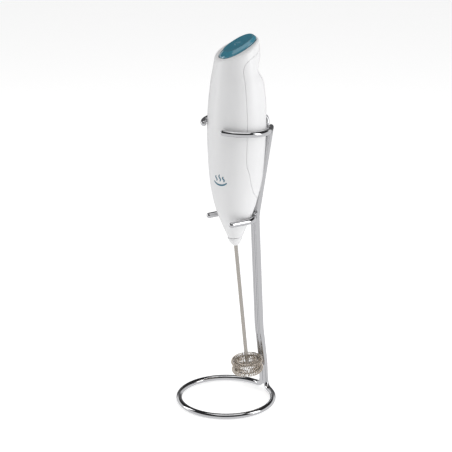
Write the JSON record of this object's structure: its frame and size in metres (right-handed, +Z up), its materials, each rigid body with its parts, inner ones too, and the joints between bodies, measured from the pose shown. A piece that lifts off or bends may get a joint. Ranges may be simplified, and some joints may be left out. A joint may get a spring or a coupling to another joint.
{
  "type": "milk frother",
  "caption": "Hand-held battery milk frother with a slanted push button, a long shaft and a coiled wire whisk, resting in a bent chrome wire stand.",
  "frame": {"origin": "middle of the overall footprint on the surface that the stand rests on", "axes": "+Z up; -Y towards the open front of the stand, so +Y is the side of the uprights; +X to the right seen from the front"},
  "size_m": [0.0598, 0.0614, 0.2196],
  "materials": {
    "chrome_wire": "bright chrome plate",
    "white_plastic": "satin-gloss moulded plastic",
    "teal_plastic": "satin-gloss moulded plastic",
    "black_plastic": "matte moulded plastic",
    "spring_steel": "bright drawn wire",
    "whisk_steel": "bright drawn stainless wire",
    "motor_steel": "zinc-plated sheet",
    "brass": "stamped, slightly dull",
    "copper": "copper windings and segments",
    "ferrite": "matte sintered ferrite",
    "cell_jacket": "printed film over a steel can",
    "red_lead": "insulated wire",
    "black_lead": "insulated wire"
  },
  "bodies": {
    "stand": {"base_ring": "chrome_wire", "upright_right": "chrome_wire", "upright_left": "chrome_wire", "lower_fork": "chrome_wire"},
    "frother": {"front_shell": "white_plastic", "rear_cover": "white_plastic", "button_spring": "spring_steel", "switch_block": "black_plastic", "switch_leaf_lower": "brass", "switch_leaf_upper": "brass", "cell_right": "cell_jacket", "cell_left": "cell_jacket", "battery_carrier": "black_plastic", "bridge_plate": "brass", "contact_plate_right": "brass", "contact_plate_left": "brass", "cell_spring_right": "spring_steel", "cell_spring_left": "spring_steel", "lead_red": "red_lead", "lead_black": "black_lead", "nose_cone": "white_plastic", "shaft_bush": "brass", "motor_can": "motor_steel", "motor_end_cap": "black_plastic", "magnet_right": "ferrite", "magnet_left": "ferrite", "motor_cradle": "black_plastic", "cradle_screw_right": "motor_steel", "cradle_screw_left": "motor_steel"},
    "button": {"push_button": "teal_plastic"},
    "whisk": {"rotor_stack": "copper", "commutator": "copper", "motor_shaft": "motor_steel", "drive_coupling": "black_plastic", "whisk_shaft": "whisk_steel", "whisk_coil_upper": "whisk_steel", "whisk_coil_lower": "whisk_steel"}
  },
  "joints": [
    {"name": "frother_tilt", "type": "hinge", "parent": "stand", "child": "frother", "pos_m": [0, 0.0112, 0.1666], "axis": [-1, 0, 0], "range_deg": [0, 3.5]},
    {"name": "button_press", "type": "slide", "parent": "frother", "child": "button", "axis": [0, 0, -1], "range_m": [0, 0.0015], "stiffness_N_per_m": 800, "springref_m": -0.0008, "deforming": ["button_spring"]},
    {"name": "whisk_spin", "type": "hinge", "parent": "frother", "child": "whisk", "pos_m": [0, 0.00602, 0.09663], "axis": [0, -0.1097, 0.994], "continuous": true}
  ]
}
